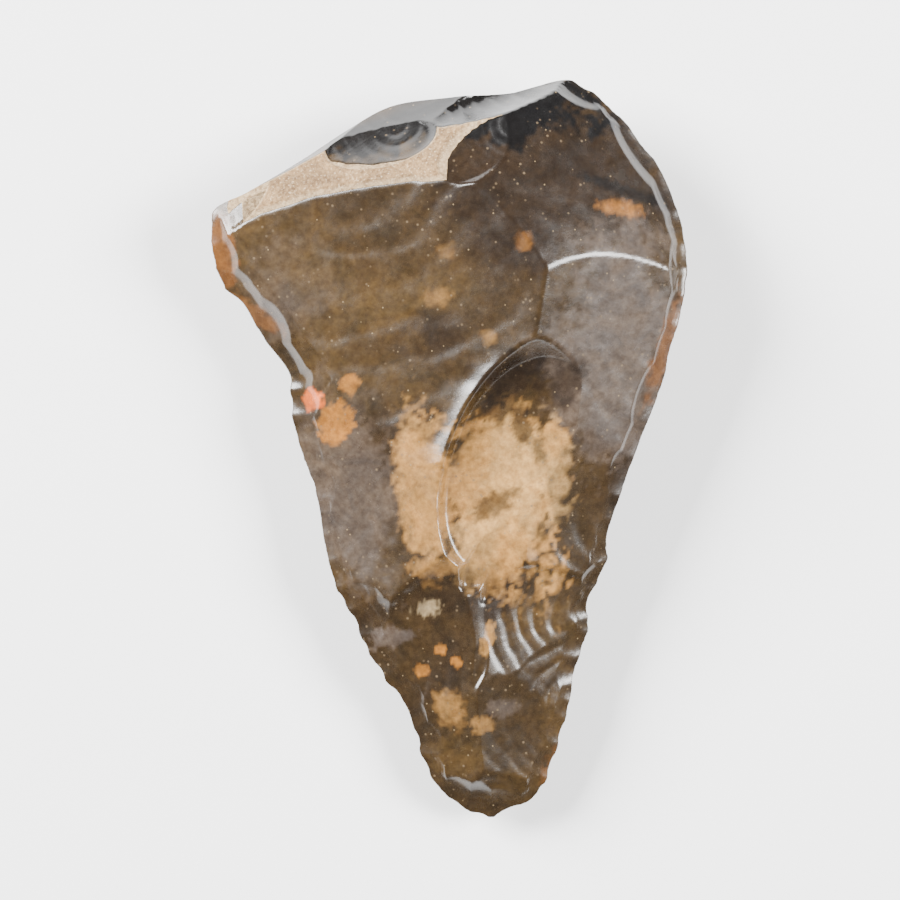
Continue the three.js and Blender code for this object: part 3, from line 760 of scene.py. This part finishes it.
class Nodes:
    """Short helpers to build a material's nodes."""

    def __init__(self, name):
        self.material = bpy.data.materials.new(name)
        self.material.use_nodes = True
        self.tree = self.material.node_tree
        self.shader = self.tree.nodes["Principled BSDF"]
        self.place = self.tree.nodes.new("ShaderNodeTexCoord").outputs["Object"]

    def link(self, source, target):
        """Joins an output socket to an input socket."""
        self.tree.links.new(source, target)

    def tone(self):
        """The colour painted on the piece's vertices."""
        node = self.tree.nodes.new("ShaderNodeVertexColor")
        node.layer_name = PAINTED_LAYER
        return node.outputs["Color"]

    def noise(self, size, detail=3.0, rough=0.55, distortion=0.0):
        """Noise with features about size millimetres across."""
        node = self.tree.nodes.new("ShaderNodeTexNoise")
        node.inputs["Scale"].default_value = 1 / (size * METRES)
        node.inputs["Detail"].default_value = detail
        node.inputs["Roughness"].default_value = rough
        node.inputs["Distortion"].default_value = distortion
        self.link(self.place, node.inputs["Vector"])
        return node.outputs["Fac"]

    def cells(self, size):
        """Distance to the nearest of points about size millimetres apart."""
        node = self.tree.nodes.new("ShaderNodeTexVoronoi")
        node.inputs["Scale"].default_value = 1 / (size * METRES)
        self.link(self.place, node.inputs["Vector"])
        return node.outputs["Distance"]

    def remap(self, source, low, high, new_low, new_high):
        """A value's range from low to high, stretched to another range."""
        node = self.tree.nodes.new("ShaderNodeMapRange")
        node.inputs["From Min"].default_value = low
        node.inputs["From Max"].default_value = high
        node.inputs["To Min"].default_value = new_low
        node.inputs["To Max"].default_value = new_high
        self.link(source, node.inputs["Value"])
        return node.outputs["Result"]

    def times(self, first, second):
        """The product of two values."""
        node = self.tree.nodes.new("ShaderNodeMath")
        node.operation = "MULTIPLY"
        self.link(first, node.inputs[0])
        self.link(second, node.inputs[1])
        return node.outputs[0]

    def mix(self, amount, first, second, mode="MIX"):
        """Two colours mixed by an amount. Either can be a socket or a colour."""
        node = self.tree.nodes.new("ShaderNodeMix")
        node.data_type = "RGBA"
        node.blend_type = mode
        if isinstance(amount, float):
            node.inputs[0].default_value = amount
        else:
            self.link(amount, node.inputs[0])
        for socket, value in ((node.inputs[6], first), (node.inputs[7], second)):
            if isinstance(value, tuple):
                socket.default_value = (*value, 1)
            else:
                self.link(value, socket)
        return node.outputs[2]

    def bump(self, height, distance, strength=1.0, under=None):
        """A bump of some height map, distance in millimetres."""
        node = self.tree.nodes.new("ShaderNodeBump")
        node.inputs["Strength"].default_value = strength
        node.inputs["Distance"].default_value = distance * METRES
        self.link(height, node.inputs["Height"])
        if under:
            self.link(under, node.inputs["Normal"])
        return node.outputs["Normal"]


# What the flint's clouds and grains multiply its colour by, its specks and dots, and its gloss
LIGHTER_CLOUD = (1.9, 1.75, 1.5)
DARKER_GRAIN = (0.62, 0.58, 0.55)
SPECK = (0.12, 0.085, 0.05)
DOT = (0.20, 0.145, 0.08)
FLINT_SMOOTHEST = 0.20
FLINT_ROUGHEST = 0.30
FLINT_IOR = 1.54


def flint_material():
    """Waxy flint: clouded colour, fine grains, pale specks and a slightly uneven gloss."""
    n = Nodes("waxy_flint")
    colour = n.tone()
    clouds = n.remap(n.noise(5, 5, 0.6, 0.8), 0.3, 0.72, 0.0, 1.0)
    colour = n.mix(clouds, colour, n.mix(1.0, colour, LIGHTER_CLOUD, "MULTIPLY"))
    grains = n.remap(n.noise(1.1, 4, 0.65), 0.35, 0.70, 0.0, 1.0)
    colour = n.mix(grains, n.mix(1.0, colour, DARKER_GRAIN, "MULTIPLY"), colour)
    specks = n.remap(n.cells(1.5), 0.10, 0.20, 1.0, 0.0)
    thinned = n.remap(n.noise(6, 2), 0.48, 0.62, 0.0, 0.75)
    colour = n.mix(n.times(specks, thinned), colour, SPECK)
    dots = n.remap(n.cells(2.6), 0.03, 0.075, 0.8, 0.0)
    colour = n.mix(dots, colour, DOT)
    n.link(colour, n.shader.inputs["Base Color"])
    gloss = n.remap(n.noise(3, 4), 0.3, 0.7, FLINT_SMOOTHEST, FLINT_ROUGHEST)
    n.link(gloss, n.shader.inputs["Roughness"])
    n.shader.inputs["IOR"].default_value = FLINT_IOR
    n.shader.inputs["Specular IOR Level"].default_value = 0.5
    waves = n.bump(n.noise(1.6, 3, 0.5), 0.05, 0.6)
    n.link(n.bump(n.noise(0.28, 3, 0.6), 0.012, 0.6, waves), n.shader.inputs["Normal"])
    return n.material


# What the rind's grit multiplies its colour by, its pale grains, and its dullness
DARK_GRIT = (0.42, 0.36, 0.30)
PALE_GRAIN = (0.62, 0.50, 0.33)
RIND_ROUGHNESS = 0.9


def rind_material():
    """Dull rind with dark grit and pale grains."""
    n = Nodes("gritty_rind")
    colour = n.tone()
    grit = n.remap(n.noise(0.7, 5, 0.7), 0.36, 0.62, 0.0, 1.0)
    colour = n.mix(grit, n.mix(1.0, colour, DARK_GRIT, "MULTIPLY"), colour)
    pale = n.remap(n.noise(0.4, 4, 0.7), 0.56, 0.68, 0.0, 0.6)
    colour = n.mix(pale, colour, PALE_GRAIN)
    n.link(colour, n.shader.inputs["Base Color"])
    n.shader.inputs["Roughness"].default_value = RIND_ROUGHNESS
    coarse = n.bump(n.noise(0.8, 4, 0.7), 0.12, 0.8)
    n.link(n.bump(n.noise(0.25, 3, 0.7), 0.05, 0.8, coarse), n.shader.inputs["Normal"])
    return n.material


# The floor's half side in metres and its finish. Each softbox has a place and a side in metres
# and a power in watts.
FLOOR_HALF = 3.0
FLOOR_COLOUR = (0.88, 0.88, 0.88)
FLOOR_ROUGHNESS = 0.9
FLOOR_SPECULAR = 0.1
LEFT_SOFTBOX = ((-0.80, 0.42, 0.62), 0.60, 66.0)
RIGHT_SOFTBOX = ((0.78, 0.12, 0.72), 0.50, 40.0)
SURROUNDINGS_STRENGTH = 0.22


def floor_material():
    """A plain pale matt sheet."""
    n = Nodes("pale_floor")
    n.shader.inputs["Base Color"].default_value = (*FLOOR_COLOUR, 1)
    n.shader.inputs["Roughness"].default_value = FLOOR_ROUGHNESS
    n.shader.inputs["Specular IOR Level"].default_value = FLOOR_SPECULAR
    return n.material


def softbox(name, place, size, power):
    """A square soft light that faces the stone."""
    light = bpy.data.lights.new(name, "AREA")
    light.size = size
    light.energy = power
    lamp = bpy.data.objects.new(name, light)
    lamp.location = place
    lamp.rotation_euler = (-Vector(place)).to_track_quat("-Z", "Y").to_euler()
    bpy.context.scene.collection.objects.link(lamp)


def make_stage():
    """The floor, the lights around it and the pale surroundings."""
    mesh = bpy.data.meshes.new("floor")
    half = FLOOR_HALF
    corners = [(-half, -half, 0), (half, -half, 0), (half, half, 0), (-half, half, 0)]
    mesh.from_pydata(corners, [], [(0, 1, 2, 3)])
    floor = bpy.data.objects.new("floor", mesh)
    floor.data.materials.append(floor_material())
    bpy.context.scene.collection.objects.link(floor)
    softbox("left_softbox", *LEFT_SOFTBOX)
    softbox("right_softbox", *RIGHT_SOFTBOX)
    world = bpy.data.worlds.new("studio")
    world.use_nodes = True
    background = world.node_tree.nodes["Background"]
    background.inputs["Color"].default_value = (1, 1, 1, 1)
    background.inputs["Strength"].default_value = SURROUNDINGS_STRENGTH
    bpy.context.scene.world = world


# The camera's height, and how wide its view is at a level within the stone, in metres. The
# sensor is in millimetres.
CAMERA_HEIGHT = 1.10
VIEW_WIDTH = 0.1642
VIEW_LEVEL = 0.014
SENSOR = 36.0
CAMERA_REACH = 20


def make_camera():
    """A long lens straight above, so that the frame is as wide as the photograph's."""
    camera = bpy.data.cameras.new("camera")
    camera.sensor_width = SENSOR
    camera.lens = SENSOR * (CAMERA_HEIGHT - VIEW_LEVEL) / VIEW_WIDTH
    camera.clip_end = CAMERA_REACH
    eye = bpy.data.objects.new("camera", camera)
    eye.location = (SHIFT[0] * METRES, 0, CAMERA_HEIGHT)
    bpy.context.scene.collection.objects.link(eye)
    bpy.context.scene.camera = eye


def dress(piece, node, material):
    """Gives a piece its material and puts it in the place of its node."""
    piece.data.materials.append(material)
    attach(piece, "root")
    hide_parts(node)


make_camera()
make_stage()
dress(flint_piece(), "flint_body", flint_material())
dress(rind_piece(), "cortex_remnant", rind_material())
